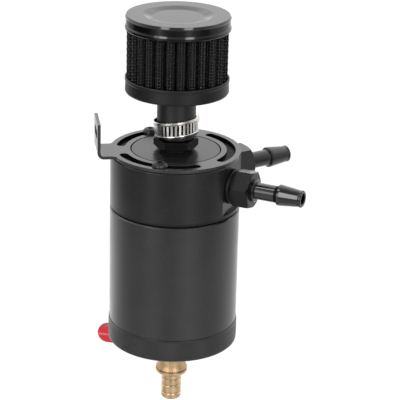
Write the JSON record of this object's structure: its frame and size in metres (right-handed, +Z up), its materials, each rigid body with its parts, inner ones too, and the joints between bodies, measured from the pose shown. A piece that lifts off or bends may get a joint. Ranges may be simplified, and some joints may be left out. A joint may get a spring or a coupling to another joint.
{
  "type": "oil catch can",
  "caption": "Upright black oil catch can with a slotted wall bracket, side hose fittings, a clamped breather filter on top and a lever drain valve underneath.",
  "frame": {"origin": "middle of the long hole in the wall tab, on the tab's outer face", "axes": "+X away from the wall, through the can's axis; +Z up along the can's axis; +Y completes the right-handed set"},
  "size_m": [0.1016, 0.0721, 0.2025],
  "materials": {
    "black_steel": "satin black paint on steel plate",
    "black_screw": "black oxide",
    "black_anodised": "satin black anodised",
    "black_canister": "satin black anodised",
    "black_knurl": "black anodised diamond knurl",
    "black_fitting": "glossy black anodised",
    "black_adapter": "matt black",
    "black_rubber": "matt",
    "filter_rubber": "smooth moulded rubber",
    "filter_mesh": "black mesh over cotton gauze",
    "filter_paint": "gloss black",
    "plain_aluminium": "turned",
    "plain_steel": "plain",
    "clamp_steel": "bright stainless",
    "brass": "machined",
    "ball_chrome": "polished",
    "white_seat": "smooth",
    "lever_steel": "plated",
    "red_vinyl": "dipped vinyl"
  },
  "bodies": {
    "bracket": {"bracket": "black_steel"},
    "head": {"head": "black_anodised", "head_gasket": "black_rubber", "head_oring": "black_rubber", "baffle_plate": "plain_aluminium", "bracket_screw_front": "black_screw", "bracket_screw_back": "black_screw", "front_washer": "black_rubber", "back_washer": "black_rubber", "front_fitting": "black_fitting", "back_fitting": "black_fitting", "filter_adapter": "black_adapter", "adapter_seal": "black_rubber", "filter_base": "filter_rubber", "filter_media": "filter_mesh", "filter_core": "plain_steel", "filter_cap": "filter_paint", "clamp_band": "clamp_steel", "clamp_housing": "clamp_steel"},
    "clamp_screw": {"clamp_screw": "clamp_steel"},
    "canister": {"canister": "black_canister"},
    "bottom_cap": {"bottom_cap": "black_knurl", "cap_oring": "black_rubber", "valve_body": "brass", "valve_tail": "brass", "valve_seat_top": "white_seat", "valve_seat_low": "white_seat", "valve_gland": "brass"},
    "valve_lever": {"valve_lever": "lever_steel", "lever_grip": "red_vinyl", "lever_nut": "lever_steel", "valve_stem": "brass", "valve_ball": "ball_chrome"}
  },
  "joints": [
    {"name": "bracket_swivel", "type": "hinge", "parent": "bracket", "child": "head", "pos_m": [0.039, 0, -0.011], "axis": [0, 0, 1], "range_deg": [-34, 36]},
    {"name": "canister_off", "type": "slide", "parent": "head", "child": "canister", "axis": [0, 0, -1], "range_m": [0, 0.03]},
    {"name": "cap_off", "type": "slide", "parent": "canister", "child": "bottom_cap", "axis": [0, 0, -1], "range_m": [0, 0.025]},
    {"name": "valve_turn", "type": "hinge", "parent": "bottom_cap", "child": "valve_lever", "pos_m": [0.039, 0, -0.1198], "axis": [0.3502, 0.9367, 0], "range_deg": [-90, 0]},
    {"name": "clamp_worm", "type": "hinge", "parent": "head", "child": "clamp_screw", "pos_m": [0.04482, 0.01262, 0.00145], "axis": [-0.898, 0.4159, -0.1434], "continuous": true}
  ]
}
